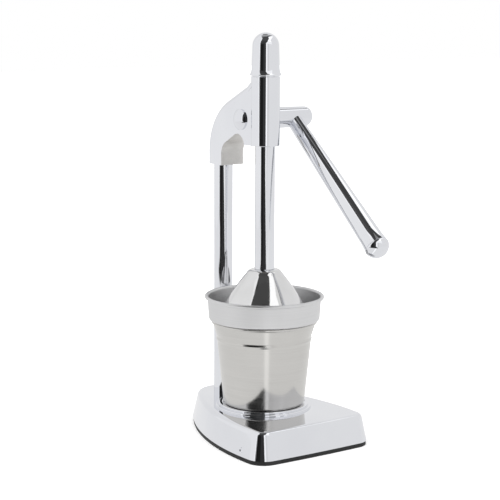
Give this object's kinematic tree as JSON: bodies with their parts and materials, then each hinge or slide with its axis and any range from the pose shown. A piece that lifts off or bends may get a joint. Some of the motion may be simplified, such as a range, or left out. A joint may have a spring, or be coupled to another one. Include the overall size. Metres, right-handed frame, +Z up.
{
  "type": "lever citrus press",
  "caption": "Free-standing lever press for citrus fruit: column, geared head, plunger rod with a bell, strainer with a reamer, and a juice cup on a cast base.",
  "frame": {"origin": "on the plunger's axis, at the underside of the rubber mat, on the surface that the press stands on", "axes": "+Z up along the plunger, the front faces -Y and the column stands at +Y, the pivot shaft lies along X with the lever on the +X side"},
  "size_m": [0.1335, 0.2163, 0.38],
  "materials": {
    "chrome_plate": "bright polished plate on steel and cast metal",
    "polished_steel": "polished stainless steel",
    "stainless": "fine brushed stainless steel",
    "plain_steel": "machined steel",
    "bronze": "turned bearing bronze",
    "black_rubber": "matte moulded rubber",
    "black_nylon": "matte nylon"
  },
  "bodies": {
    "frame": {"base_shell": "chrome_plate", "base_mat": "black_rubber", "base_screws": "plain_steel", "column": "chrome_plate", "column_washer": "plain_steel", "column_nut": "plain_steel", "head_casting": "chrome_plate", "lower_guide_bush": "bronze", "upper_guide_bush": "bronze", "top_cap": "chrome_plate", "shaft_bushes": "bronze", "shaft_cover": "chrome_plate", "thrust_washer": "black_nylon"},
    "lever": {"pinion_shaft": "plain_steel", "pinion": "plain_steel", "pinion_key": "plain_steel", "retaining_ring": "plain_steel", "lever_hub": "chrome_plate", "hub_pin": "plain_steel", "lever_arm": "chrome_plate", "lever_end_cap": "chrome_plate"},
    "plunger": {"rack_rod": "chrome_plate", "bell_washer": "black_nylon", "press_bell": "polished_steel", "bell_screw": "plain_steel"},
    "cup": {"juice_cup": "stainless"},
    "strainer": {"strainer_bowl": "stainless", "reamer_cone": "stainless"}
  },
  "joints": [
    {"name": "lever_hinge", "type": "hinge", "parent": "frame", "child": "lever", "pos_m": [0, 0.022, 0.2994], "axis": [-1, 0, 0], "range_deg": [0, 160]},
    {"name": "plunger_slide", "type": "slide", "parent": "frame", "child": "plunger", "axis": [0, 0, 1], "range_m": [0, 0.0419]},
    {"name": "cup_turn", "type": "hinge", "parent": "frame", "child": "cup", "pos_m": [0, 0, 0.0324], "axis": [0, 0, 1], "continuous": true},
    {"name": "strainer_turn", "type": "hinge", "parent": "cup", "child": "strainer", "pos_m": [0, 0, 0.1127], "axis": [0, 0, 1], "continuous": true}
  ],
  "couplings": [
    {"joint": "plunger_slide", "follows": "lever_hinge", "m_per_rad": 0.015}
  ]
}
